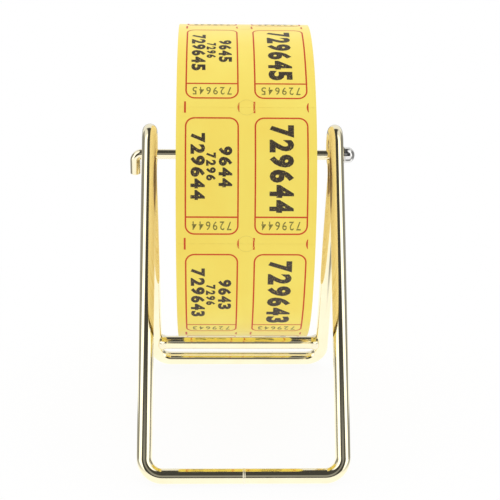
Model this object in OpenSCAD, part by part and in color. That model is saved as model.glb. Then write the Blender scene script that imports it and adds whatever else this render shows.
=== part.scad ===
// Counter stand for one roll of numbered tickets. A wire frame is bent into two side frames, each
// with an eye at its top. A plain rod lies in the eyes, hooked at one end and capped at the other,
// and the roll of tickets turns on it.
// X runs along the rod towards its capped end, Y from the front rail to the rear rail, and Z is up.
// The origin is on the table, straight under the middle of the rod.

/* [Wire frame] */
// Diameter of the frame's wire
wire_d = 5.8; // [4:0.1:6.5]
// Outer width of the frame, across its two side frames
frame_w = 81; // [74:0.5:120]
// Height of the rod's centre line above the table
axle_h = 108; // [100:0.5:160]
// Distance from the rod forward to the centre line of the front rail
front_reach = 74.5; // [60:0.5:120]
// Distance from the rod back to the centre line of the rear rail
rear_reach = 32.5; // [20:0.5:80]
// Bend radius of the rails' corners, to the wire's centre line
corner_r = 7; // [5:0.5:14]

/* [Eyes] */
// Clear diameter of each eye
eye_d = 7; // [6:0.1:10]
// Bend radius of the neck under each eye, to the wire's centre line
neck_r = 5; // [4:0.1:8]
// Open gap of the eye's mouth, narrower than the rod so that the rod stays in
neck_gap = 2.5; // [1:0.1:2.8]

/* [Rail seam] */
// Width of the welded seam at the wire's surface
seam_w = 0.9; // [0.5:0.1:2]
// Gap between the wire's two ends at the root of the seam
seam_root = 0.3; // [0.1:0.1:0.4]
// Height of the seam's crown above the wire
seam_crown = 0.12; // [0.05:0.01:0.5]

/* [Tear bar] */
// Diameter of the tear bar
bar_d = 5.8; // [3:0.1:7]
// Clear slot between the tear bar and the rear rail, for the strip of tickets
bar_slot = 4.05; // [3:0.05:10]
// Reach of each weld fillet along the bar
fillet_l = 1.8; // [1:0.1:3]
// Height of each weld fillet above the bar, where it meets the leg
fillet_h = 0.8; // [0.3:0.1:1.5]
// Lap of each weld fillet onto the round of the leg
fillet_lap = 1.2; // [0.6:0.1:2]
// Gap between the bar's end and the leg, which the weld fills
bar_root = 0.3; // [0.1:0.05:0.6]
// Hollow of each weld fillet: its height at mid-reach, as a share of the full height
fillet_hollow = 0.3; // [0.15:0.05:0.5]

/* [Axle rod] */
// Diameter of the rod
axle_d = 4; // [3:0.1:5]
// Running gap between the rod and the wire that it rests on
axle_gap = 0.05; // [0.02:0.01:0.1]
// Bend radius of the hook, to the rod's centre line
hook_r = 2.8; // [2.6:0.1:5]
// Drop of the hook's tip below the rod's centre line
hook_drop = 8.4; // [6:0.1:20]
// End play between the hook and the left eye
hook_gap = 0.95; // [0.5:0.05:4]
// Bevel of the rod's two cut ends
axle_bevel = 0.4; // [0.1:0.1:0.8]

/* [Rod cap] */
// Diameter of the cap
cap_d = 6.3; // [5.6:0.1:12]
// Length of the cap
cap_l = 4.6; // [4.2:0.1:12]
// Radius of the cap's dome
cap_dome_r = 3.5; // [3.4:0.1:8]
// Diameter of the rim round the cap's mouth
cap_rim_d = 6.8; // [5.8:0.1:14]
// Thickness of that rim
cap_rim_t = 0.6; // [0.3:0.1:1.5]
// Depth of the cap's bore
cap_bore_l = 3.3; // [2:0.1:3.8]
// Running gap between the rod and the cap's bore
cap_fit = 0.05; // [0.02:0.01:0.1]
// Gap between the rod's end and the bottom of the cap's bore
cap_end_gap = 0.3; // [0.1:0.05:0.6]
// End play between the cap and the right eye
cap_gap = 0.35; // [0.3:0.05:4]

/* [Ticket roll] */
// Width of the strip of tickets
ticket_w = 50.8; // [25:0.1:54]
// Length of one ticket, from perforation to perforation
ticket_l = 50.8; // [25:0.1:80]
// Thickness of the ticket board
ticket_t = 0.25; // [0.15:0.01:0.4]
// Outer diameter of the roll, apart from its slack last turn
roll_d = 124; // [80:0.2:140]
// Bore of the card core
core_bore = 25.4; // [12:0.1:40]
// Wall of the card core
core_wall = 1.6; // [0.8:0.1:4]
// Gap that the loose last turn opens above the turn under it
turn_gap = 0.45; // [0.42:0.01:1.5]
// How far the slack of the last turn stands off the roll
slack_h = 3.1; // [0.5:0.1:3.5]
// Angle that the slack covers, from the middle of the roll's front downwards
slack_span = 90; // [80:1:110]
// Angle of each of the slack's two flatter ends, which its tighter middle joins
slack_flat = 18; // [10:1:20]
// Angle above the horizontal of the perforation nearest the top of the roll's front
perf_angle = 41.1; // [30:0.1:60]
// Whole tickets from that perforation, over the top, to the free end of the strip
tail_tickets = 4; // [3:1:4]
// Least length of each slit of a perforation
perf_slit = 2.6; // [1:0.1:5]
// Tie of ticket board left between two slits
perf_tie = 0.8; // [0.4:0.1:2]
// Width of each slit
perf_w = 0.2; // [0.1:0.05:0.5]
// Gap between the core and the pack of tickets
pack_fit = 0.03; // [0.02:0.01:0.1]
// Gap between the core's bore and the rod that it hangs on
hang_gap = 0.08; // [0.03:0.01:0.1]

/* [Hidden] */
$fn = 72;
// How far a cut runs past the face that it opens
cut = 1;

// Frame sizes. Points of a side frame are [y, z].
wire_r = wire_d / 2;
side_x = (frame_w - wire_d) / 2;
front_foot = [-front_reach, wire_r];
rear_foot = [rear_reach, wire_r];
axle_at = [0, axle_h];
axle_r = axle_d / 2;
// Distance from the rod's centre line to the centre line of a wire that it rests on
seat = wire_r + axle_r + axle_gap;

function toward(a) = [cos(a), sin(a)];
function under(a) = [sin(a), -cos(a)];
function heading(p, q) = atan2(q[1] - p[1], q[0] - p[0]);

// The front leg runs straight from its foot over the rod to the eye.
front_a = heading(front_foot, axle_at) + asin(seat / norm(axle_at - front_foot));
// The neck's arc bulges under the rod, and the eye's arc runs on from it, over the rod.
eye_r = (eye_d + wire_d) / 2;
neck_off = neck_r + wire_d + neck_gap;
neck_drop = sqrt(pow(neck_r + seat, 2) - pow(neck_off - seat, 2));
eye_rise = sqrt(pow(eye_r + neck_r, 2) - pow(neck_off - eye_r, 2)) - neck_drop;
neck_at = axle_at - neck_drop * toward(front_a) + (neck_off - seat) * under(front_a);
eye_at = axle_at + eye_rise * toward(front_a) + (eye_r - seat) * under(front_a);
front_leg_l = (eye_at - front_foot) * toward(front_a);
// The rear leg runs straight from its foot to the neck.
rear_a = heading(rear_foot, neck_at) + asin(neck_r / norm(neck_at - rear_foot));
rear_leg_l = (neck_at - rear_foot) * toward(rear_a);
// Angles between which the eye's arc runs, and the angle that the neck turns through
eye_from = heading(eye_at, neck_at);
eye_to = front_a + 90;
neck_turn = rear_a + 90 - heading(neck_at, eye_at);

// Tear bar
bar_r = bar_d / 2;
bar_s = wire_r + bar_slot + bar_r;
bar_half = side_x - wire_r - bar_root;

// Rod and cap
hook_x = -(side_x + wire_r + hook_gap + axle_r);
cap_x = side_x + wire_r + cap_gap;
rod_end_x = cap_x + cap_bore_l - cap_end_gap;

// Roll. Its core hangs on the rod, so the roll's centre is under the rod's.
core_bore_r = core_bore / 2;
core_r = core_bore_r + core_wall;
roll_z = axle_h + axle_r + hang_gap - core_bore_r;
turn_in_r = roll_d / 2 - ticket_t;
turn_pitch = ticket_t + turn_gap;
// The last turn starts under its own free end and is one ticket longer than a full turn. It winds
// outwards on two centres: a half turn about the roll's, then a half turn about one that is half a
// pitch to one side, and the last ticket about the roll's again, clear over the start. These are
// their outer radii.
turn_r = [roll_d / 2, roll_d / 2 + turn_pitch / 2, roll_d / 2 + turn_pitch];
turn_shift = [-turn_pitch / 2, 0];
// Part of the inner half turn stands off the roll as slack: a flat arc, a tight one and a flat one,
// each tangent to the next. The tight arc's centre is on the line through the slack's middle, and
// the flat arcs' centres are as far from that line on one side as on the other.
slack_a = slack_span / 2;
slack_k = sin(slack_a) / sin(slack_a - slack_flat);
slack_off = slack_h / (1 - 1 / cos(slack_a) + slack_k * (cos(slack_flat) / cos(slack_a) - 1));
flat_r = turn_r[0] + slack_off;
tight_r = flat_r - slack_off * slack_k;
tight_at = (flat_r - tight_r) * toward(slack_flat) - [slack_off, 0];

// Angle that a length of the strip covers at a radius
function strip_a(l, r) = l / r * 180 / PI;

// Angles on the turn run from its middle, which is this far round from +Y: the start is at 180, and
// the free end is past -180.
turn_mid = 360 - perf_angle - (tail_tickets - 1) * strip_a(ticket_l, turn_r[1]);
tail_a = strip_a(ticket_l, turn_r[2]);
// The turn's arcs from its free end to its start: centre, outer radius, and the angles of both ends
turn = [[[0, 0], turn_r[2], -180 - tail_a, -180],
        [turn_shift, turn_r[1], -180, 0],
        [[-slack_off, 0], flat_r, 0, slack_flat],
        [tight_at, tight_r, slack_flat, slack_span - slack_flat],
        [-slack_off * toward(slack_span), flat_r, slack_span - slack_flat, slack_span],
        [[0, 0], turn_r[0], slack_span, 180]];
// Largest step of angle between two points of the turn's outline
turn_step = 2.5;

function arc_l(s) = (s[3] - s[2]) * PI / 180 * s[1];
function arc_steps(s) = ceil((s[3] - s[2]) / turn_step);
function on_arc(s, a, depth) = s[0] + (s[1] - depth) * toward(a);
// Points of the turn at a depth under its outer face, from the free end to the start
function turn_line(depth) = concat(
    [on_arc(turn[0], turn[0][2], depth)],
    [for (s = turn) for (i = [1 : arc_steps(s)])
        on_arc(s, s[2] + (s[3] - s[2]) * i / arc_steps(s), depth)]);
function reversed(points) = [for (i = [len(points) - 1 : -1 : 0]) points[i]];
// The arc that a length along the strip from its free end is on, and the angle on that arc
function place_at(l, i = 0) =
    i == len(turn) - 1 || l <= arc_l(turn[i])
        ? [turn[i], turn[i][2] + strip_a(l, turn[i][1])]
        : place_at(l - arc_l(turn[i]), i + 1);

turn_l = [for (s = turn) arc_l(s)] * [for (s = turn) 1];
perf_lines = floor(turn_l / ticket_l);
// Slits fill the strip's width, with a tie at both its edges.
perf_slits = floor((ticket_w - perf_tie) / (perf_slit + perf_tie));
slit_pitch = (ticket_w - perf_tie) / perf_slits;
// Points on the faces that lie over each other, and the least gap between them
gap_step = 1;
under_face = [for (a = [180 - tail_a : gap_step : 180]) turn_r[0] * toward(a)];
over_face = [for (s = [turn[0], turn[1]]) for (a = [s[2] : gap_step : s[3]]) on_arc(s, a, ticket_t)];
least_gap = min([for (p = under_face) for (q = over_face) norm(p - q)]);
echo(str("The last turn's least gap to itself is ", least_gap, " mm."));

// Straight wire or rod along X, between two places on it
module rod_x(x0, x1, d) {
    translate([x0, 0, 0]) rotate([0, 90, 0]) cylinder(h = x1 - x0, d = d);
}

// Places its children in the plane of two legs: X stays, and local Y runs up the legs from a foot.
module leg_plane(foot, a) {
    translate([0, foot[0], foot[1]]) rotate([a, 0, 0]) children();
}

// One corner of a rail, in the plane of the legs, on the right-hand side
module corner() {
    translate([side_x - corner_r, corner_r, 0])
        rotate([0, 0, -90])
        rotate_extrude(angle = 90) translate([corner_r, 0]) circle(d = wire_d);
}

// One straight leg, in the plane of the legs, on the right-hand side
module leg(l) {
    translate([side_x, corner_r, 0]) rotate([-90, 0, 0]) cylinder(h = l - corner_r, d = wire_d);
}

// Arc of wire in a side frame, about its own centre, from an angle measured from +Y towards +Z
module side_arc(r, from, turn) {
    rotate([90, 0, 90])
        rotate([0, 0, from])
        rotate_extrude(angle = turn) translate([r, 0]) circle(d = wire_d);
}

// Half of the front rail: it is cut off at the seam with a bevel, for the weld.
module front_rail_half() {
    color("palegoldenrod") leg_plane(front_foot, front_a) {
        difference() {
            rod_x(0, side_x - corner_r, wire_d);
            seam_solid(0);
        }
        corner();
    }
}

// Weld that joins the wire's two ends, wider at the surface than at its root
module seam_solid(crown) {
    rotate([0, 90, 0])
        rotate_extrude()
        polygon([[0, -seam_root / 2], [wire_r, -seam_w / 2], [wire_r + crown, -seam_w / 4],
                 [wire_r + crown, seam_w / 4], [wire_r, seam_w / 2], [0, seam_root / 2]]);
}

// Everything under the table's surface, round the seam
module under_table() {
    translate([-seam_w, -front_reach - wire_d, -wire_d]) cube([2 * seam_w, 2 * wire_d, wire_d]);
}

module front_rail_right() {
    front_rail_half();
}

module front_rail_left() {
    mirror([1, 0, 0]) front_rail_half();
}

// The seam's crown is dressed flush where the rail stands on the table.
module rail_seam() {
    color("wheat") difference() {
        leg_plane(front_foot, front_a) seam_solid(seam_crown);
        under_table();
    }
}

module front_leg_right() {
    color("palegoldenrod") leg_plane(front_foot, front_a) leg(front_leg_l);
}

module front_leg_left() {
    mirror([1, 0, 0]) front_leg_right();
}

// Rear leg, with the neck that draws in under the rod to hold it in the eye
module rear_leg_right() {
    color("palegoldenrod") leg_plane(rear_foot, rear_a) {
        leg(rear_leg_l);
        translate([side_x, rear_leg_l, -neck_r]) side_arc(neck_r, 90 - neck_turn, neck_turn);
    }
}

module rear_leg_left() {
    mirror([1, 0, 0]) rear_leg_right();
}

// Rear rail with both its corners, in one bend of wire
module rear_rail() {
    color("palegoldenrod") leg_plane(rear_foot, rear_a) {
        rod_x(corner_r - side_x, side_x - corner_r, wire_d);
        corner();
        mirror([1, 0, 0]) corner();
    }
}

// Eye over the rod, from the front leg round to the neck
module eye_right() {
    color("palegoldenrod") translate([side_x, eye_at[0], eye_at[1]])
        side_arc(eye_r, eye_from, eye_to - eye_from);
}

module eye_left() {
    mirror([1, 0, 0]) eye_right();
}

// Straight bar welded between the rear legs, above the rear rail
module tear_bar() {
    color("palegoldenrod") leg_plane(rear_foot, rear_a)
        translate([0, bar_s, 0]) rod_x(-bar_half, bar_half, bar_d);
}

// Weld at one end of the tear bar: it fills the root gap, flares out round the bar and laps onto
// the round of the leg.
module bar_fillet() {
    difference() {
        translate([bar_half, bar_s, 0]) rotate([0, 90, 0]) rotate_extrude()
            polygon([[0, 0], [bar_r, 0], [bar_r, -fillet_l],
                     [bar_r + fillet_h * fillet_hollow, -fillet_l / 2],
                     [bar_r + fillet_h, bar_root], [bar_r, bar_root + fillet_lap],
                     [0, bar_root + fillet_lap]]);
        leg(rear_leg_l);
        corner();
    }
}

module bar_fillets() {
    color("wheat") leg_plane(rear_foot, rear_a) {
        bar_fillet();
        mirror([1, 0, 0]) bar_fillet();
    }
}

// Bevelled tip of the rod, along +Z
module rod_tip() {
    cylinder(h = axle_bevel, r1 = axle_r, r2 = axle_r - axle_bevel);
}

// Rod through both eyes: its left end is bent down into a hook, and its right end is in the cap.
module axle_rod() {
    color("darkkhaki") translate([0, 0, axle_h]) {
        rod_x(hook_x + hook_r, rod_end_x - axle_bevel, axle_d);
        translate([rod_end_x - axle_bevel, 0, 0]) rotate([0, 90, 0]) rod_tip();
        translate([hook_x + hook_r, 0, -hook_r])
            rotate([90, 0, 0])
            rotate([0, 0, 90])
            rotate_extrude(angle = 90) translate([hook_r, 0]) circle(d = axle_d);
        translate([hook_x, 0, axle_bevel - hook_drop])
            cylinder(h = hook_drop - axle_bevel - hook_r, d = axle_d);
        translate([hook_x, 0, axle_bevel - hook_drop]) rotate([180, 0, 0]) rod_tip();
    }
}

// Domed cap pushed on the rod's right end
module axle_cap() {
    color("silver") translate([cap_x, 0, axle_h]) rotate([0, 90, 0]) difference() {
        union() {
            intersection() {
                cylinder(h = cap_l, d = cap_d);
                translate([0, 0, cap_l - cap_dome_r]) sphere(r = cap_dome_r);
            }
            cylinder(h = cap_rim_t, d = cap_rim_d);
        }
        translate([0, 0, -cap_rim_t]) cylinder(h = cap_rim_t + cap_bore_l, r = axle_r + cap_fit);
        translate([0, 0, -axle_bevel])
            cylinder(h = 2 * axle_bevel, r1 = axle_r + 2 * axle_bevel, r2 = axle_r);
    }
}

// Places its children round the roll's axis: local Z runs along +X, X along +Y and Y up.
module on_roll() {
    translate([0, 0, roll_z]) rotate([90, 0, 90]) children();
}

// Card tube that the tickets are wound on
module roll_core() {
    color("tan") on_roll() difference() {
        cylinder(h = ticket_w, r = core_r, center = true);
        cylinder(h = ticket_w + 2 * cut, r = core_bore_r, center = true);
    }
}

// The wound tickets under the last turn
module ticket_pack() {
    color("khaki") on_roll() difference() {
        cylinder(h = ticket_w, r = turn_in_r - pack_fit, center = true);
        cylinder(h = ticket_w + 2 * cut, r = core_r + pack_fit, center = true);
    }
}

// One row of slits across the last turn, at a length along the strip from its free end
module perforation(l) {
    place = place_at(l);
    translate(place[0][0]) rotate([0, 0, place[1]])
        for (i = [0 : perf_slits - 1])
            translate([place[0][1] - ticket_t - turn_gap / 2, -perf_w / 2,
                       perf_tie - ticket_w / 2 + i * slit_pitch])
                cube([ticket_t + turn_gap, perf_w, slit_pitch - perf_tie]);
}

// The loose last turn, with a perforation after each ticket from its free end
module outer_turn() {
    color("khaki") on_roll() rotate([0, 0, turn_mid]) difference() {
        linear_extrude(height = ticket_w, center = true)
            polygon(concat(turn_line(0), reversed(turn_line(ticket_t))));
        for (k = [1 : perf_lines]) perforation(k * ticket_l);
    }
}

front_rail_left();
front_rail_right();
rail_seam();
front_leg_left();
front_leg_right();
eye_left();
eye_right();
rear_leg_left();
rear_leg_right();
rear_rail();
tear_bar();
bar_fillets();
axle_rod();
axle_cap();
roll_core();
ticket_pack();
outer_turn();
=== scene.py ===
"""Looks of a counter ticket roll stand: a bent wire frame, a hooked rod with a cap, and a roll of tickets.

Sizes are in metres, in the part's own frame: X runs along the rod towards its cap, Y from the front rail
to the rear rail, Z is up, and the origin is on the table under the middle of the rod.
"""

import math
from math import cos, pi, radians, sin

import bmesh
import bpy
import numpy as np
from mathutils import Matrix, Vector

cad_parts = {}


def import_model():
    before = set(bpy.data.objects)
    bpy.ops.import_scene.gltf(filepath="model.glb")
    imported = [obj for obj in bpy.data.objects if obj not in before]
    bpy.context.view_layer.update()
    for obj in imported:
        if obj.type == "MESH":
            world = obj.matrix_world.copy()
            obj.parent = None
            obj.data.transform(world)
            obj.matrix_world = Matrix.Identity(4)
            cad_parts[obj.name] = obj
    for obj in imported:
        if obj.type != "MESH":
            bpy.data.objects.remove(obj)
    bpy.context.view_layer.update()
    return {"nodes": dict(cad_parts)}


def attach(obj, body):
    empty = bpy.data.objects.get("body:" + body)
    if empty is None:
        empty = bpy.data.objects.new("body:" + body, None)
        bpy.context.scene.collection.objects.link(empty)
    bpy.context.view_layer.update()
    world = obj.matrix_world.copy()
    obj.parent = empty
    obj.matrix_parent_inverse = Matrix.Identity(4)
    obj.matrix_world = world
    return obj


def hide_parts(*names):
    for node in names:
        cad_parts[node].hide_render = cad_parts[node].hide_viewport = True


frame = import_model()
NODES = frame["nodes"]
MM = 0.001

# Wire frame
WIRE_R = 2.9 * MM
SIDE_X = 37.6 * MM
AXLE_H = 108 * MM
FRONT_FOOT = np.array([-74.5, 2.9]) * MM
REAR_FOOT = np.array([32.5, 2.9]) * MM
CORNER_R = 7 * MM
EYE_R = 6.4 * MM
NECK_R = 5 * MM
NECK_GAP = 2.5 * MM

# Tear bar
BAR_R = 2.9 * MM
BAR_S = 9.85 * MM
BAR_HALF = 34.4 * MM

# Rod and cap
AXLE_R = 2 * MM
AXLE_GAP = 0.05 * MM
HOOK_X = -43.45 * MM
HOOK_R = 2.8 * MM
HOOK_DROP = 8.4 * MM
ROD_END_X = 43.85 * MM
ROD_BEVEL = 0.4 * MM
CAP_X = 40.85 * MM
CAP_L = 4.6 * MM
CAP_R = 3.15 * MM
CAP_DOME_R = 3.5 * MM
CAP_RIM_R = 3.4 * MM
CAP_RIM_T = 0.6 * MM
CAP_BORE_R = 2.05 * MM
CAP_BORE_L = 3.3 * MM

# Ticket roll
ROLL_Z = 97.38 * MM
TICKET_W = 50.8 * MM
TICKET_L = 50.8 * MM
TICKET_T = 0.25 * MM
CORE_BORE_R = 12.7 * MM
CORE_R = 14.3 * MM
ROLL_R = 62 * MM
TURN_PITCH = 0.7 * MM
SLACK_H = 3.1 * MM
SLACK_SPAN = radians(90)
SLACK_FLAT = radians(18)
PERF_ANGLE = radians(41.1)
PERF_TURNS = 3
PACK_R = ROLL_R - TICKET_T - 0.03 * MM

WHITE = (1, 1, 1, 1)


def toward(a):
    return np.array([cos(a), sin(a)])


def under(a):
    return np.array([sin(a), -cos(a)])


def heading(p, q):
    return math.atan2(q[1] - p[1], q[0] - p[0])


# The two side frames, as in the part: points of a side frame are (y, z).
AXLE_AT = np.array([0, AXLE_H])
SEAT = WIRE_R + AXLE_R + AXLE_GAP
FRONT_A = heading(FRONT_FOOT, AXLE_AT) + math.asin(SEAT / np.linalg.norm(AXLE_AT - FRONT_FOOT))
NECK_OFF = NECK_R + 2 * WIRE_R + NECK_GAP
NECK_DROP = math.sqrt((NECK_R + SEAT) ** 2 - (NECK_OFF - SEAT) ** 2)
EYE_RISE = math.sqrt((EYE_R + NECK_R) ** 2 - (NECK_OFF - EYE_R) ** 2) - NECK_DROP
NECK_AT = AXLE_AT - NECK_DROP * toward(FRONT_A) + (NECK_OFF - SEAT) * under(FRONT_A)
EYE_AT = AXLE_AT + EYE_RISE * toward(FRONT_A) + (EYE_R - SEAT) * under(FRONT_A)
FRONT_LEG_L = (EYE_AT - FRONT_FOOT) @ toward(FRONT_A)
REAR_A = heading(REAR_FOOT, NECK_AT) + math.asin(NECK_R / np.linalg.norm(NECK_AT - REAR_FOOT))
REAR_LEG_L = (NECK_AT - REAR_FOOT) @ toward(REAR_A)


# Meshes


def new_object(name, verts, faces, mat, smooth_angle=radians(35)):
    mesh = bpy.data.meshes.new(name)
    mesh.from_pydata([tuple(map(float, v)) for v in verts], [], [tuple(map(int, f)) for f in faces])
    mesh.validate()
    mesh.polygons.foreach_set("use_smooth", [True] * len(mesh.polygons))
    mesh.set_sharp_from_angle(angle=smooth_angle)
    mesh.materials.append(mat)
    obj = bpy.data.objects.new(name, mesh)
    bpy.context.scene.collection.objects.link(obj)
    return obj


def grid_faces(rows, cols, close_rows=False, close_cols=False, start=0):
    """Quads between neighbouring points of a grid, numbered row by row."""
    faces = []
    for i in range(rows if close_rows else rows - 1):
        for j in range(cols if close_cols else cols - 1):
            i2, j2 = (i + 1) % rows, (j + 1) % cols
            faces.append([start + i * cols + j, start + i2 * cols + j, start + i2 * cols + j2, start + i * cols + j2])
    return faces


def tube(name, points, radius, mat, sides=48, closed=False):
    """Round wire along a line of points. radius is one number, or one for each point. Open ends are capped."""
    points = np.asarray(points, float)
    n = len(points)
    radii = np.broadcast_to(radius, n)
    if closed:
        tangents = np.roll(points, -1, 0) - np.roll(points, 1, 0)
    else:
        tangents = np.gradient(points, axis=0)
    tangents /= np.linalg.norm(tangents, axis=1)[:, None]
    side = np.cross(tangents[0], (0, 1, 0) if abs(tangents[0][1]) < 0.9 else (1, 0, 0))
    side /= np.linalg.norm(side)
    sides_at = [side]
    for i in range(1, n + (1 if closed else 0)):
        t = tangents[i % n]
        side = sides_at[-1] - (sides_at[-1] @ t) * t
        sides_at.append(side / np.linalg.norm(side))
    twist = 0.0
    if closed:
        last = sides_at.pop()
        twist = math.atan2(np.cross(last, sides_at[0]) @ tangents[0], last @ sides_at[0])
    verts = []
    for i in range(n):
        u = sides_at[i]
        w = np.cross(tangents[i], u)
        for k in range(sides):
            a = 2 * pi * k / sides + twist * i / n
            verts.append(points[i] + radii[i] * (cos(a) * u + sin(a) * w))
    faces = grid_faces(n, sides, close_rows=closed, close_cols=True)
    faces = [f[::-1] for f in faces]
    if not closed:
        faces.append(list(range(sides))[::-1])
        faces.append(list(range((n - 1) * sides, n * sides)))
    return new_object(name, verts, faces, mat)


def arc(centre, radius, start, end, step=radians(4)):
    """Points (a, b) on an arc, both ends included."""
    n = max(2, math.ceil(abs(end - start) / step))
    return [centre + radius * toward(start + (end - start) * i / n) for i in range(n + 1)]


def plane_point(foot, a, x, along):
    """A point of the sloping plane of two legs, from its place across and up the legs."""
    return np.array([x, foot[0] + along * cos(a), foot[1] + along * sin(a)])


def wire_path():
    """The closed line of the frame's wire, from the middle of the front rail round the right side frame first."""
    corner_at = np.array([SIDE_X - CORNER_R, CORNER_R])
    half = [plane_point(FRONT_FOOT, FRONT_A, 0, 0)]
    half += [plane_point(FRONT_FOOT, FRONT_A, x, s) for x, s in arc(corner_at, CORNER_R, -pi / 2, 0)]
    eye_from = heading(EYE_AT, NECK_AT)
    half += [np.array([SIDE_X, y, z]) for y, z in arc(EYE_AT, EYE_R, FRONT_A + pi / 2, eye_from)]
    neck_from = heading(NECK_AT, EYE_AT)
    half += [np.array([SIDE_X, y, z]) for y, z in arc(NECK_AT, NECK_R, neck_from, REAR_A + pi / 2)][1:]
    half += [plane_point(REAR_FOOT, REAR_A, x, s) for x, s in arc(corner_at, CORNER_R, 0, -pi / 2)]
    half += [plane_point(REAR_FOOT, REAR_A, 0, 0)]
    mirror = [p * (-1, 1, 1) for p in half[-2:0:-1]]
    return half + mirror


def lathe(name, profile, mat, place, segments=64):
    """A closed profile of (radius, height) points turned about the local Z axis."""
    verts = []
    for k in range(segments):
        a = 2 * pi * k / segments
        verts += [place @ Vector((r * cos(a), r * sin(a), h)) for r, h in profile]
    faces = grid_faces(segments, len(profile), close_rows=True, close_cols=True)
    return new_object(name, verts, faces, mat)


ALONG_X = Matrix(((0, 0, 1, 0), (1, 0, 0, 0), (0, 1, 0, 0), (0, 0, 0, 1)))


# The ticket strip. v runs along the strip from its free end, over the top and down the front.


def turn_arcs():
    """The last turn's arcs from its free end: centre, outer radius, and the angles of both ends. It winds on two
    centres, and part of it stands off the roll as slack."""
    slack_a = SLACK_SPAN / 2
    share = sin(slack_a) / sin(slack_a - SLACK_FLAT)
    off = SLACK_H / (1 - 1 / cos(slack_a) + share * (cos(SLACK_FLAT) / cos(slack_a) - 1))
    flat_r = ROLL_R + off
    tight_at = off * share * toward(SLACK_FLAT) - (off, 0)
    end_r = ROLL_R + TURN_PITCH
    return [((0, 0), end_r, -pi - TICKET_L / end_r, -pi),
            ((-TURN_PITCH / 2, 0), ROLL_R + TURN_PITCH / 2, -pi, 0),
            ((-off, 0), flat_r, 0, SLACK_FLAT),
            (tight_at, flat_r - off * share, SLACK_FLAT, SLACK_SPAN - SLACK_FLAT),
            (-off * toward(SLACK_SPAN), flat_r, SLACK_SPAN - SLACK_FLAT, SLACK_SPAN),
            ((0, 0), ROLL_R, SLACK_SPAN, pi)]


ARCS = turn_arcs()
ARC_AT = np.array([a[0] for a in ARCS])
ARC_R, ARC_FROM, ARC_TO = np.array([a[1:] for a in ARCS]).T
ARC_V = np.concatenate([[0], np.cumsum((ARC_TO - ARC_FROM) * ARC_R)])
STRIP_L = ARC_V[-1]
TURN_MID = 2 * pi - PERF_ANGLE - PERF_TURNS * TICKET_L / ARC_R[1]


def strip_points(v, x, lift=0.0):
    """Points at lengths v along the strip and at x across it, raised by lift from its outer face."""
    v, x, lift = np.broadcast_arrays(np.asarray(v, float), np.asarray(x, float), np.asarray(lift, float))
    k = np.clip(np.searchsorted(ARC_V, v, side="right") - 1, 0, len(ARCS) - 1)
    a = ARC_FROM[k] + (v - ARC_V[k]) / ARC_R[k]
    across = ARC_AT[k, 0] + (ARC_R[k] + lift) * np.cos(a)
    high = ARC_AT[k, 1] + (ARC_R[k] + lift) * np.sin(a)
    y = across * cos(TURN_MID) - high * sin(TURN_MID)
    z = ROLL_Z + across * sin(TURN_MID) + high * cos(TURN_MID)
    return np.stack([x, y, z], -1)


PERF_SLIT = 2.6 * MM
PERF_TIE = 0.8 * MM
PERF_WIDTH = 0.05 * MM
STRIP_STEP = 1.5 * MM


def ticket_strip(mat):
    """The last turn as one thin sheet with two faces, open at each slit of its perforations."""
    count = int((TICKET_W - PERF_TIE) / (PERF_SLIT + PERF_TIE))
    slit = (TICKET_W - PERF_TIE) / count - PERF_TIE
    xs = [-TICKET_W / 2]
    for k in range(count):
        xs += [xs[-1] + PERF_TIE]
        xs += [xs[-1] + slit]
    xs += [TICKET_W / 2]
    perfs = [k * TICKET_L for k in range(1, int(STRIP_L / TICKET_L) + 1)]
    stops = [0.0]
    open_rows = set()
    for p in perfs + [STRIP_L + PERF_WIDTH / 2]:
        end = p - PERF_WIDTH / 2
        n = math.ceil((end - stops[-1]) / STRIP_STEP)
        start = stops[-1]
        stops += [start + (end - start) * i / n for i in range(1, n + 1)]
        if p < STRIP_L:
            open_rows.add(len(stops) - 1)
            stops.append(p + PERF_WIDTH / 2)
    rows, cols = len(stops), len(xs)
    vv, xx = np.meshgrid(stops, xs, indexing="ij")
    outer = strip_points(vv, xx).reshape(-1, 3)
    inner = strip_points(vv, xx, -TICKET_T).reshape(-1, 3)
    verts = np.concatenate([outer, inner])
    there = np.ones((rows - 1, cols - 1), bool)
    for i in open_rows:
        there[i, 1::2] = False
    faces = []
    below = rows * cols

    def wall(a, b):
        faces.append([a, b, b + below, a + below])

    for i in range(rows - 1):
        for j in range(cols - 1):
            if not there[i, j]:
                continue
            a, b, c, d = i * cols + j, (i + 1) * cols + j, (i + 1) * cols + j + 1, i * cols + j + 1
            faces.append([a, d, c, b])
            faces.append([a + below, b + below, c + below, d + below])
            if i == 0 or not there[i - 1, j]:
                wall(d, a)
            if i == rows - 2 or not there[i + 1, j]:
                wall(b, c)
            if j == 0 or not there[i, j - 1]:
                wall(a, b)
            if j == cols - 2 or not there[i, j + 1]:
                wall(c, d)
    faces = [f[::-1] for f in faces]
    return new_object("ticket_strip", verts, faces, mat)


# Print on the tickets. Places are (x, v), with v from a ticket's upper perforation.

INK_LIFT = 0.03 * MM
LINE_W = 0.55 * MM
FRAME_TOP = 4.3 * MM
FRAME_BOTTOM = 47.0 * MM
BOX_LINE = 40.6 * MM
FRAME_CORNER = 3.2 * MM
COLUMNS = [(-21.9 * MM, -3.0 * MM), (3.2 * MM, 22.1 * MM)]
DASH_L = 4.6 * MM
DASH_W = 0.68 * MM
MARK_R = 3.1 * MM
FIRST_NUMBER = 729648


LEAST_AREA = 1e-8 * MM ** 2


def turned_area(xv):
    """Area of a flat face, positive if its points run anticlockwise with v up."""
    x, v = xv.T
    return (x @ np.roll(v, -1) - v @ np.roll(x, -1)) / 2


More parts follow.
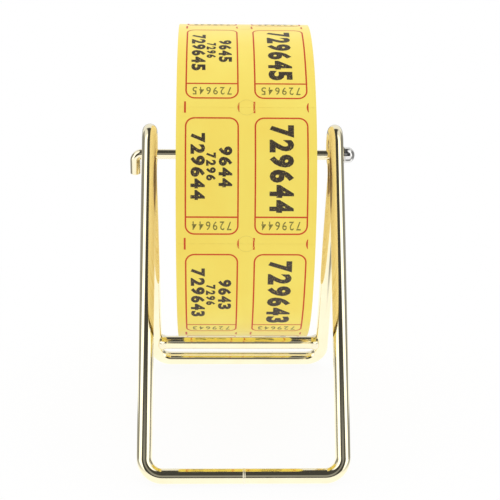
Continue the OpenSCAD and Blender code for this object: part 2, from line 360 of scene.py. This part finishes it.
class Print:
    """Gathers flat print, in strips along the ticket roll, into one mesh for each ink."""

    def __init__(self):
        self.verts, self.faces = [], []

    def add(self, xv, faces, v0, lift=INK_LIFT):
        """xv are (x, v) points and faces are lists of their numbers. What lies past the strip's end is left out."""
        xv = np.asarray(xv, float)
        if (xv[:, 1] + v0).max() > STRIP_L - MM or (xv[:, 1] + v0).min() < MM:
            return
        base = len(self.verts)
        self.verts += list(strip_points(xv[:, 1] + v0, xv[:, 0], lift))
        for f in faces:
            area = turned_area(xv[f])
            if abs(area) > LEAST_AREA:
                self.faces.append([base + i for i in (f if area < 0 else f[::-1])])

    def line(self, xv, width, v0, closed=False):
        """A line of one width, or one width for each point, along (x, v) points."""
        xv = np.asarray(xv, float)
        n = len(xv)
        if closed:
            t = np.roll(xv, -1, 0) - np.roll(xv, 1, 0)
        else:
            t = np.gradient(xv, axis=0)
        t /= np.linalg.norm(t, axis=1)[:, None]
        off = np.stack([-t[:, 1], t[:, 0]], -1) * np.broadcast_to(width, n)[:, None] / 2
        both = np.concatenate([xv + off, xv - off])
        faces = [[i, (i + 1) % n, n + (i + 1) % n, n + i] for i in range(n if closed else n - 1)]
        self.add(both, faces, v0)

    def build(self, name, mat):
        obj = new_object(name, self.verts, self.faces, mat)
        return obj


def dense(points, step=1.2 * MM, closed=False):
    """The same line with more points on its long stretches."""
    points = [np.asarray(p, float) for p in points]
    out = []
    for p, q in zip(points, points[1:] + points[:1] if closed else points[1:]):
        n = max(1, math.ceil(np.linalg.norm(q - p) / step))
        out += [p + (q - p) * i / n for i in range(n)]
    return out if closed else out + [points[-1]]


def rounded_frame(x0, x1, v0, v1, r):
    corners = [((x1 - r, v0 + r), -pi / 2), ((x1 - r, v1 - r), 0), ((x0 + r, v1 - r), pi / 2), ((x0 + r, v0 + r), pi)]
    points = []
    for centre, start in corners:
        points += arc(np.array(centre), r, start, start + pi / 2, step=radians(12))
    return dense(points, closed=True)


def digit_shapes(boldness):
    """The ten digits as flat triangles, each scaled to a width and a height of one."""
    shapes = []
    for d in range(10):
        curve = bpy.data.curves.new(f"digit_{d}", "FONT")
        curve.body = str(d)
        curve.offset = boldness
        curve.resolution_u = 3
        obj = bpy.data.objects.new(f"digit_{d}", curve)
        bpy.context.scene.collection.objects.link(obj)
        bpy.context.view_layer.update()
        mesh = bpy.data.meshes.new_from_object(obj)
        co = np.array([v.co[:2] for v in mesh.vertices])
        tris = [list(p.vertices) for p in mesh.polygons]
        lo, hi = co.min(0), co.max(0)
        shapes.append(((co - lo) / (hi - lo), tris, hi[0] - lo[0]))
        bpy.data.objects.remove(obj)
        bpy.data.curves.remove(curve)
        bpy.data.meshes.remove(mesh)
    return shapes


def cut_fine(co, faces, axis, step):
    """Cuts flat faces along lines of one direction, so that they can follow a bend."""
    bm = bmesh.new()
    vs = [bm.verts.new((*p, 0)) for p in co]
    for f in faces:
        bm.faces.new([vs[i] for i in f])
    lo, hi = co[:, axis].min(), co[:, axis].max()
    normal = Vector((1, 0, 0)) if axis == 0 else Vector((0, 1, 0))
    for k in range(1, max(1, math.ceil((hi - lo) / step))):
        at = normal * (lo + (hi - lo) * k / math.ceil((hi - lo) / step))
        geom = bm.verts[:] + bm.edges[:] + bm.faces[:]
        bmesh.ops.bisect_plane(bm, geom=geom, plane_co=at, plane_no=normal, dist=1e-7)
    bmesh.ops.remove_doubles(bm, verts=bm.verts, dist=0.002 * MM)
    bmesh.ops.dissolve_degenerate(bm, edges=bm.edges, dist=0.002 * MM)
    bm.verts.index_update()
    out = np.array([v.co[:2] for v in bm.verts])
    out_faces = [[v.index for v in f.verts] for f in bm.faces]
    bm.free()
    return out, out_faces


BOLD = digit_shapes(0.05)
LIGHT = digit_shapes(0.006)


def print_number(ink, text, x0, x1, v0, v1, ticket_v, turned="down", share=0.86, digits=BOLD):
    """Digits in a box. turned down reads along the strip with their tops to +X, and turned over reads to -X."""
    along_v = turned == "down"
    start, end = (v0, v1) if along_v else (x1, x0)
    pitch = (end - start) / len(text)
    for k, char in enumerate(text):
        co, faces, _ = digits[int(char)]
        narrow = 0.32 if char == "1" else 1.0
        width = abs(pitch) * share * narrow
        middle = start + pitch * (k + 0.5)
        if along_v:
            xv = np.stack([x0 + co[:, 1] * (x1 - x0), middle + (co[:, 0] - 0.5) * width], -1)
        else:
            xv = np.stack([middle - (co[:, 0] - 0.5) * width, v0 + co[:, 1] * (v1 - v0)], -1)
        xv, cut = cut_fine(xv, faces, 1, 1.3 * MM)
        ink.add(xv, cut, ticket_v)


def print_tickets(red_mat, dark_mat, olive_mat, faint_mat):
    red, dark, olive, faint = Print(), Print(), Print(), Print()
    last = int(STRIP_L / TICKET_L)
    for k in range(-1, last + 1):
        v = k * TICKET_L
        number = str(FIRST_NUMBER - k)
        for x0, x1 in COLUMNS:
            red.line(rounded_frame(x0, x1, FRAME_TOP, FRAME_BOTTOM, FRAME_CORNER), LINE_W, v, closed=True)
            red.line(dense([(x0, BOX_LINE), (x1, BOX_LINE)]), LINE_W, v)
            red.line(dense([(x0 - 0.3 * MM, -DASH_L / 2), (x0 - 0.3 * MM, DASH_L / 2)]), DASH_W, v)
            bow_r = 5.5 * MM
            half = DASH_L * 0.42 / bow_r
            bow = [c for c in arc(np.array([x1 + 0.1 * MM + bow_r, 0]), bow_r, pi - half, pi + half, radians(6))]
            widths = [DASH_W * (0.25 + 0.75 * sin(pi * i / (len(bow) - 1))) for i in range(len(bow))]
            red.line(bow, widths, v)
            print_number(olive, number, x0 + 1.9 * MM, x1 - 1.9 * MM, 42.2 * MM, 45.5 * MM, v, "over", 0.66, LIGHT)
        faint.line(arc(np.array([0.1 * MM, 0]), MARK_R, 0, 2 * pi, radians(10))[:-1], 0.16 * MM, v, closed=True)
        print_number(dark, number, 8.3 * MM, 17.1 * MM, 6.6 * MM, 39.3 * MM, v)
        print_number(dark, number, -20.1 * MM, -14.9 * MM, 9.8 * MM, 34.6 * MM, v)
        print_number(dark, number[:4], -14.5 * MM, -11.0 * MM, 17.0 * MM, 27.6 * MM, v, share=0.8)
        print_number(dark, number[2:], -10.0 * MM, -5.1 * MM, 14.7 * MM, 30.0 * MM, v)
    return [red.build("print_red", red_mat), dark.build("print_dark", dark_mat),
            olive.build("print_olive", olive_mat), faint.build("print_faint", faint_mat)]


# Wound tickets under the last turn

SIDE_STEPS = 120
SIDE_PITCH = 0.5 * MM


def wound_pack(mat, rng):
    """The wound tickets: on each side the edges of the turns show, a spiral of small steps."""
    out_r = PACK_R
    in_r = CORE_R + 0.02 * MM
    turns = round((out_r - in_r) / SIDE_PITCH)
    pitch = (out_r - in_r) / turns
    steps = SIDE_STEPS
    last = (turns + 1) * steps
    waves = [(rng.uniform(2, 9), rng.uniform(0, 2 * pi), rng.uniform(0.02, 0.06)) for _ in range(5)]
    jitter = rng.uniform(-0.05, 0.05, turns + 3)

    def depth(t):
        share = t % steps / steps
        wobble = jitter[t // steps] * (1 - share) + jitter[t // steps + 1] * share
        drift = sum(h * sin(f * t / last * 2 * pi + p) for f, p, h in waves)
        return TICKET_W / 2 - (0.12 + wobble + drift * 0.6) * MM

    verts, faces = [], []
    inner, outer = {}, {}
    for side in (-1, 1):
        for t in range(last + 1):
            a = 2 * pi * t / steps
            for ring, turn_r in ((inner, in_r + pitch * (t / steps - 1)), (outer, in_r + pitch * t / steps)):
                r = min(max(turn_r, in_r), out_r)
                ring[side, t] = len(verts)
                verts.append((side * depth(t), r * cos(a), ROLL_Z + r * sin(a)))
        inner[side, 0] = inner[side, steps] = outer[side, 0]
        outer[side, last] = outer[side, last - steps] = inner[side, last]
        for t in range(last):
            quads = [[inner[side, t], outer[side, t], outer[side, t + 1], inner[side, t + 1]]]
            if t + steps < last:
                quads.append([outer[side, t], inner[side, t + steps], inner[side, t + 1 + steps], outer[side, t + 1]])
            faces += [q if side > 0 else q[::-1] for q in quads]
    for t in range(steps):
        faces.append([inner[-1, t], inner[-1, t + 1], inner[1, t + 1], inner[1, t]][::-1])
        e = last - steps + t
        faces.append([outer[-1, e], outer[-1, e + 1], outer[1, e + 1], outer[1, e]])
    used = sorted({i for f in faces for i in f})
    place = {old: new for new, old in enumerate(used)}
    faces = [list(dict.fromkeys(place[i] for i in f)) for f in faces]
    return new_object("wound_tickets", [verts[i] for i in used], faces, mat, smooth_angle=radians(25))


# Materials


class Shader:
    """A material's node tree with short calls to add and join nodes."""

    def __init__(self, name):
        self.mat = bpy.data.materials.new(name)
        self.mat.use_nodes = True
        self.tree = self.mat.node_tree
        self.bsdf = self.tree.nodes["Principled BSDF"]

    def add(self, kind, **inputs):
        return add_node(self.tree, kind, **inputs)

    def join(self, a, b):
        self.tree.links.new(a, b)

    def set(self, **values):
        for key, value in values.items():
            self.bsdf.inputs[key.replace("_", " ")].default_value = value

    def coords(self):
        return self.add("ShaderNodeTexCoord").outputs["Object"]

    def noise(self, scale, detail=4.0, vector=None):
        n = self.add("ShaderNodeTexNoise", Scale=scale, Detail=detail)
        self.join(vector or self.coords(), n.inputs["Vector"])
        return n.outputs["Fac"]

    def ramp(self, fac, stops):
        r = self.add("ShaderNodeValToRGB")
        self.join(fac, r.inputs["Fac"])
        for k, (at, colour) in enumerate(stops):
            e = r.color_ramp.elements[k] if k < 2 else r.color_ramp.elements.new(at)
            e.position = at
            e.color = colour
        return r.outputs["Color"]

    def spread(self, fac, lo, hi, from_lo=0.3, from_hi=0.7):
        m = self.add("ShaderNodeMapRange")
        self.join(fac, m.inputs["Value"])
        for name, value in (("From Min", from_lo), ("From Max", from_hi), ("To Min", lo), ("To Max", hi)):
            m.inputs[name].default_value = value
        return m.outputs["Result"]

    def bump(self, height, distance, strength=1.0):
        b = self.add("ShaderNodeBump", Distance=distance, Strength=strength)
        self.join(height, b.inputs["Height"])
        self.join(b.outputs["Normal"], self.bsdf.inputs["Normal"])


def add_node(tree, kind, **inputs):
    node = tree.nodes.new(kind)
    for key, value in inputs.items():
        node.inputs[key.replace("_", " ")].default_value = value
    return node


def math_node(tree, operation, a, b=None):
    n = tree.nodes.new("ShaderNodeMath")
    n.operation = operation
    for k, value in enumerate((a, b)):
        if value is None:
            continue
        if isinstance(value, (int, float)):
            n.inputs[k].default_value = value
        else:
            tree.links.new(value, n.inputs[k])
    return n.outputs[0]


def linear(r, g, b):
    """A colour as it shows on the screen, from 0 to 255, as the shader's own numbers."""
    def one(c):
        c /= 255
        return c / 12.92 if c <= 0.04045 else ((c + 0.055) / 1.055) ** 2.4
    return (one(r), one(g), one(b), 1)


def polished_metal(name, tint, dull, rough=0.06, scratch=0.004 * MM):
    s = Shader(name)
    s.set(Metallic=1.0)
    blotch = s.noise(160.0, 3.0)
    s.join(s.ramp(blotch, [(0.3, tint), (0.75, dull)]), s.bsdf.inputs["Base Color"])
    fine = s.noise(900.0, 6.0)
    s.join(s.spread(fine, rough * 0.7, rough * 1.6), s.bsdf.inputs["Roughness"])
    s.bump(s.noise(2200.0, 3.0), scratch, 0.25)
    return s.mat


def ticket_paper():
    s = Shader("ticket_paper")
    s.set(Roughness=0.62, Specular_IOR_Level=0.3, Sheen_Weight=0.6, Sheen_Roughness=0.4,
          Sheen_Tint=(1, 0.96, 0.8, 1))
    cloud = s.noise(55.0, 5.0)
    s.join(s.ramp(cloud, [(0.3, linear(255, 234, 108)), (0.7, linear(254, 226, 98))]), s.bsdf.inputs["Base Color"])
    s.bump(s.noise(3500.0, 5.0), 0.02 * MM, 0.35)
    return s.mat


def ink(name, colour, worn, speckle=2600.0, cover=0.62):
    """Print: solid colour with small pinholes where the ink has not covered the paper."""
    s = Shader(name)
    s.set(Roughness=0.45, Specular_IOR_Level=0.35)
    s.join(s.ramp(s.noise(speckle, 2.0), [(cover, colour), (cover + 0.1, worn)]), s.bsdf.inputs["Base Color"])
    return s.mat


def paper_edges():
    """Side of the roll: the cut edges of the turns, in fine rings that differ a little in shade."""
    s = Shader("paper_edges")
    s.set(Roughness=0.8, Specular_IOR_Level=0.2)
    parts = s.add("ShaderNodeSeparateXYZ")
    s.join(s.coords(), parts.inputs[0])
    up = math_node(s.tree, "SUBTRACT", parts.outputs["Z"], ROLL_Z)
    r2 = math_node(s.tree, "ADD", math_node(s.tree, "MULTIPLY", parts.outputs["Y"], parts.outputs["Y"]),
                   math_node(s.tree, "MULTIPLY", up, up))
    r = math_node(s.tree, "SQRT", r2)
    n = s.add("ShaderNodeTexNoise", Scale=1.0, Detail=2.0)
    n.noise_dimensions = "1D"
    s.join(math_node(s.tree, "MULTIPLY", r, 1500.0), n.inputs["W"])
    wide = s.add("ShaderNodeTexNoise", Scale=1.0, Detail=2.0)
    wide.noise_dimensions = "1D"
    s.join(math_node(s.tree, "MULTIPLY", r, 330.0), wide.inputs["W"])
    both = math_node(s.tree, "ADD", math_node(s.tree, "MULTIPLY", n.outputs["Fac"], 0.72),
                     math_node(s.tree, "MULTIPLY", wide.outputs["Fac"], 0.28))
    s.join(s.ramp(both, [(0.32, linear(228, 196, 112)), (0.46, linear(251, 228, 158)), (0.66, linear(255, 240, 184))]),
           s.bsdf.inputs["Base Color"])
    s.bump(n.outputs["Fac"], 0.06 * MM, 0.4)
    return s.mat


def core_card():
    s = Shader("core_card")
    s.set(Roughness=0.85, Specular_IOR_Level=0.2)
    s.join(s.ramp(s.noise(420.0, 6.0), [(0.3, linear(198, 172, 128)), (0.7, linear(224, 200, 156))]),
           s.bsdf.inputs["Base Color"])
    s.bump(s.noise(1800.0, 4.0), 0.05 * MM, 0.5)
    return s.mat


brass = polished_metal("polished_brass", (0.97, 0.90, 0.66, 1), (0.94, 0.86, 0.60, 1))
rod_brass = polished_metal("rod_brass", (0.95, 0.87, 0.64, 1), (0.9, 0.82, 0.58, 1), rough=0.08)
weld_brass = polished_metal("weld_brass", (0.96, 0.9, 0.7, 1), (0.9, 0.82, 0.6, 1), rough=0.15, scratch=0.012 * MM)
nickel = polished_metal("cap_nickel", (0.82, 0.81, 0.79, 1), (0.76, 0.75, 0.72, 1), rough=0.09)
paper = ticket_paper()
red_ink = ink("ink_red", linear(212, 68, 22), linear(229, 127, 54))
dark_ink = ink("ink_dark", linear(66, 57, 46), linear(160, 140, 84), cover=0.59)
olive_ink = ink("ink_olive", linear(126, 118, 52), linear(190, 174, 78), cover=0.55)
faint_ink = ink("ink_faint", linear(236, 214, 98), linear(246, 223, 99))
edges = paper_edges()
card = core_card()


# Pieces


def frame_wire():
    obj = tube("frame_wire", wire_path(), WIRE_R, brass, closed=True)
    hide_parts("front_rail_left", "front_rail_right", "front_leg_left", "front_leg_right", "eye_left",
                "eye_right", "rear_leg_left", "rear_leg_right", "rear_rail")
    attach(obj, "stand")


def tear_bar_piece():
    ends = [plane_point(REAR_FOOT, REAR_A, x, BAR_S) for x in (-BAR_HALF, BAR_HALF)]
    obj = tube("tear_bar_wire", ends, BAR_R, brass)
    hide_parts("tear_bar")
    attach(obj, "stand")


def rod_piece():
    top = AXLE_H
    line = [(HOOK_X, 0, top - HOOK_DROP), (HOOK_X, 0, top - HOOK_DROP + ROD_BEVEL)]
    bend = arc(np.array([HOOK_X + HOOK_R, top - HOOK_R]), HOOK_R, pi, pi / 2, radians(5))
    line += [(x, 0, z) for x, z in bend]
    line += [(ROD_END_X - ROD_BEVEL, 0, top), (ROD_END_X, 0, top)]
    radii = [AXLE_R - ROD_BEVEL] + [AXLE_R] * (len(line) - 2) + [AXLE_R - ROD_BEVEL]
    obj = tube("hooked_rod", line, radii, rod_brass)
    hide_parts("axle_rod")
    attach(obj, "axle")


def cap_piece():
    dome_at = CAP_L - CAP_DOME_R
    edge = math.acos(CAP_R / CAP_DOME_R)
    soft = 0.12 * MM
    profile = [(CAP_BORE_R, CAP_BORE_L), (CAP_BORE_R, 0.35 * MM), (CAP_BORE_R + 0.35 * MM, 0)]
    profile += [(CAP_RIM_R - soft, 0), (CAP_RIM_R, soft), (CAP_RIM_R, CAP_RIM_T - soft)]
    profile += [(CAP_RIM_R - soft, CAP_RIM_T), (CAP_R, CAP_RIM_T)]
    for i in range(25):
        a = edge + (pi / 2 - edge) * i / 25
        profile.append((CAP_DOME_R * cos(a), dome_at + CAP_DOME_R * sin(a)))
    profile += [(0.02 * MM, CAP_L), (0.02 * MM, CAP_BORE_L)]
    place = Matrix.Translation((CAP_X, 0, AXLE_H)) @ ALONG_X
    obj = lathe("domed_cap", profile, nickel, place)
    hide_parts("axle_cap")
    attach(obj, "cap")


def roll_pieces():
    strip = ticket_strip(paper)
    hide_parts("outer_turn")
    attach(strip, "roll")
    for obj in print_tickets(red_ink, dark_ink, olive_ink, faint_ink):
        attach(obj, "roll")
    pack = wound_pack(edges, np.random.default_rng(11))
    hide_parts("ticket_pack")
    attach(pack, "roll")
    half, soft = TICKET_W / 2, 0.15 * MM
    profile = [(CORE_BORE_R, half - soft), (CORE_BORE_R, soft - half), (CORE_BORE_R + soft, -half),
               (CORE_R - soft, -half), (CORE_R, soft - half), (CORE_R, half - soft),
               (CORE_R - soft, half), (CORE_BORE_R + soft, half)]
    core = lathe("core_tube", profile, card, Matrix.Translation((0, 0, ROLL_Z)) @ ALONG_X, segments=96)
    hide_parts("roll_core")
    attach(core, "roll")


frame_wire()
tear_bar_piece()
rod_piece()
cap_piece()
roll_pieces()
for name in ("rail_seam", "bar_fillets"):
    NODES[name].data.materials.clear()
    NODES[name].data.materials.append(weld_brass)


# Studio

CAMERA_AT = Vector((-12.35, -489.13, 241.11)) * MM
CAMERA_DOWN = radians(19.59)
CAMERA_TURN = radians(-1.86)
CAMERA_ROLL = radians(0.79)
CAMERA_LENS = 89.8


def camera():
    data = bpy.data.cameras.new("camera")
    data.sensor_width = 36
    data.lens = CAMERA_LENS
    data.clip_start = 0.01
    data.clip_end = 100
    cam = bpy.data.objects.new("camera", data)
    turn = Matrix.Rotation(CAMERA_TURN, 4, "Z") @ Matrix.Rotation(pi / 2 - CAMERA_DOWN, 4, "X")
    cam.matrix_world = Matrix.Translation(CAMERA_AT) @ turn @ Matrix.Rotation(CAMERA_ROLL, 4, "Z")
    bpy.context.scene.collection.objects.link(cam)
    bpy.context.scene.camera = cam


def smooth_step(tree, value, lo, hi):
    m = tree.nodes.new("ShaderNodeMapRange")
    m.interpolation_type = "SMOOTHSTEP"
    tree.links.new(value, m.inputs["Value"])
    m.inputs["From Min"].default_value = lo
    m.inputs["From Max"].default_value = hi
    return m.outputs["Result"]


def mix_value(tree, fac, a, b):
    """a where fac is 0 and b where it is 1."""
    m = tree.nodes.new("ShaderNodeMapRange")
    tree.links.new(fac, m.inputs["Value"])
    for name, value in (("To Min", a), ("To Max", b)):
        if isinstance(value, (int, float)):
            m.inputs[name].default_value = value
        else:
            tree.links.new(value, m.inputs[name])
    return m.outputs["Result"]


DARK = 0.07
PANEL = 1.9
GREY = 0.3
WHITE_AGAIN = 1.1
FRONT_PATCH = 0.36
LIGHT_AHEAD = 0.75
LIGHT_ABOVE = 1.15
LIGHT_ASIDE = 1.25
LIGHT_BELOW = 1.14


def world():
    """The camera sees plain white. Reflections show a studio: white panels in front at both sides, a dark gap
    between them that runs overhead, with a grey patch low in its middle, and behind the object a white backdrop
    with grey beside it. The light on the object is soft, and a little stronger from the sides and above."""
    w = bpy.data.worlds.new("studio")
    bpy.context.scene.world = w
    w.use_nodes = True
    tree = w.node_tree
    out = tree.nodes["World Output"]
    plain = tree.nodes["Background"]
    plain.inputs["Color"].default_value = WHITE
    rays = tree.nodes.new("ShaderNodeLightPath")
    direction = tree.nodes.new("ShaderNodeTexCoord").outputs["Generated"]
    parts = tree.nodes.new("ShaderNodeSeparateXYZ")
    tree.links.new(direction, parts.inputs[0])
    x, y, z = parts.outputs["X"], parts.outputs["Y"], parts.outputs["Z"]
    across = math_node(tree, "ABSOLUTE", x)
    slope = smooth_step(tree, math_node(tree, "ADD", across, math_node(tree, "MULTIPLY", z, 0.7)), 0.91, 1.01)
    aside = math_node(tree, "MAXIMUM", slope, smooth_step(tree, across, 0.62, 0.72))
    behind = smooth_step(tree, y, -0.16, -0.02)
    high = smooth_step(tree, z, 0.4, 0.6)
    patch = math_node(tree, "MULTIPLY", smooth_step(tree, z, 0.2, 0.32), smooth_step(tree, z, 0.68, 0.58))
    patch = math_node(tree, "MULTIPLY", patch, smooth_step(tree, across, 0.34, 0.2))
    patch = math_node(tree, "MULTIPLY", patch, smooth_step(tree, y, 0.0, -0.1))
    gap = mix_value(tree, patch, DARK, FRONT_PATCH)
    middle = mix_value(tree, smooth_step(tree, y, 0.5, 0.62), gap, WHITE_AGAIN)
    beside = mix_value(tree, behind, PANEL, mix_value(tree, high, GREY, WHITE_AGAIN))
    between = mix_value(tree, smooth_step(tree, y, -0.8, 0.0), LIGHT_AHEAD, LIGHT_ABOVE)
    light = mix_value(tree, smooth_step(tree, across, 0.55, 0.8), between, LIGHT_ASIDE)
    tree.links.new(mix_value(tree, rays.outputs["Is Camera Ray"], light, 1.0), plain.inputs["Strength"])
    glossy = tree.nodes.new("ShaderNodeBackground")
    tree.links.new(mix_value(tree, aside, middle, beside), glossy.inputs["Strength"])
    mix = tree.nodes.new("ShaderNodeMixShader")
    tree.links.new(rays.outputs["Is Glossy Ray"], mix.inputs["Fac"])
    tree.links.new(plain.outputs[0], mix.inputs[1])
    tree.links.new(glossy.outputs[0], mix.inputs[2])
    tree.links.new(mix.outputs[0], out.inputs["Surface"])


def floor():
    """A white table that keeps a soft shadow near the object and turns to plain white further out."""
    size = 12.0
    obj = new_object("floor", [(-size, -size, 0), (size, -size, 0), (size, size, 0), (-size, size, 0)],
                     [[0, 1, 2, 3]], floor_material())
    obj.location.z = -0.02 * MM


def floor_material():
    """The camera sees a white table with a faint shadow. Reflections see it white, and grey at both sides as if
    cards stood there just out of view. Light that the table throws back on the object is plain white."""
    s = Shader("floor")
    s.set(Base_Color=(0.95, 0.95, 0.95, 1), Roughness=0.9, Specular_IOR_Level=0.0)
    parts = s.add("ShaderNodeSeparateXYZ")
    s.join(s.coords(), parts.inputs[0])
    x, y = parts.outputs["X"], parts.outputs["Y"]
    reach = math_node(s.tree, "SQRT", math_node(s.tree, "ADD", math_node(s.tree, "MULTIPLY", x, x),
                                                math_node(s.tree, "MULTIPLY", y, y)))
    rays = s.add("ShaderNodeLightPath")
    white = s.add("ShaderNodeEmission", Color=WHITE)
    s.join(mix_value(s.tree, rays.outputs["Is Diffuse Ray"], 1.0, LIGHT_BELOW), white.inputs["Strength"])
    seen = s.add("ShaderNodeMixShader")
    plain = mix_value(s.tree, smooth_step(s.tree, reach, 0.06, 0.2), 0.9, 1.0)
    by_camera = math_node(s.tree, "MULTIPLY", plain, rays.outputs["Is Camera Ray"])
    s.join(math_node(s.tree, "ADD", by_camera, rays.outputs["Is Diffuse Ray"]), seen.inputs["Fac"])
    s.join(s.bsdf.outputs[0], seen.inputs[1])
    s.join(white.outputs[0], seen.inputs[2])
    card = math_node(s.tree, "MULTIPLY", smooth_step(s.tree, math_node(s.tree, "ABSOLUTE", x), 0.045, 0.065),
                     smooth_step(s.tree, y, -0.12, -0.05))
    card = math_node(s.tree, "MULTIPLY", card, smooth_step(s.tree, y, 0.01, -0.02))
    far = math_node(s.tree, "MULTIPLY", smooth_step(s.tree, reach, 0.17, 0.25), smooth_step(s.tree, y, -0.1, 0.0))
    card = math_node(s.tree, "MAXIMUM", card, far)
    mirrored = s.add("ShaderNodeEmission", Color=WHITE)
    s.join(mix_value(s.tree, card, WHITE_AGAIN, GREY), mirrored.inputs["Strength"])
    whole = s.add("ShaderNodeMixShader")
    s.join(rays.outputs["Is Glossy Ray"], whole.inputs["Fac"])
    s.join(seen.outputs[0], whole.inputs[1])
    s.join(mirrored.outputs[0], whole.inputs[2])
    s.join(whole.outputs[0], s.tree.nodes["Material Output"].inputs["Surface"])
    return s.mat


camera()
world()
floor()
bpy.context.scene.view_settings.view_transform = "Standard"
